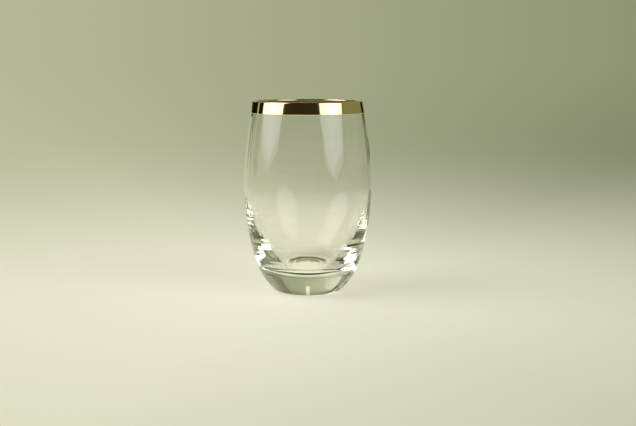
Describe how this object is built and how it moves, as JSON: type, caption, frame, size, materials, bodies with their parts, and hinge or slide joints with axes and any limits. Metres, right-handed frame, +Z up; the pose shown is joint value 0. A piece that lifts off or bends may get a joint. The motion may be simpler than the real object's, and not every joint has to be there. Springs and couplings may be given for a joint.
{
  "type": "highball glass",
  "caption": "Barrel-shaped clear highball glass with a heavy rounded base and a bright gold band fired round its lip, for long drinks.",
  "frame": {"origin": "centre of the foot, on the plane that the glass stands on", "axes": "+Z up along the axis of the glass, from the foot to the lip; -Y towards the viewer in the picture"},
  "size_m": [0.08, 0.08, 0.1202],
  "materials": {
    "clear_glass": "clear, fire-polished",
    "fired_gold": "bright fired metal, mirror-like"
  },
  "bodies": {
    "root": {"glass_body": "clear_glass", "rim_band": "fired_gold"}
  },
  "joints": []
}
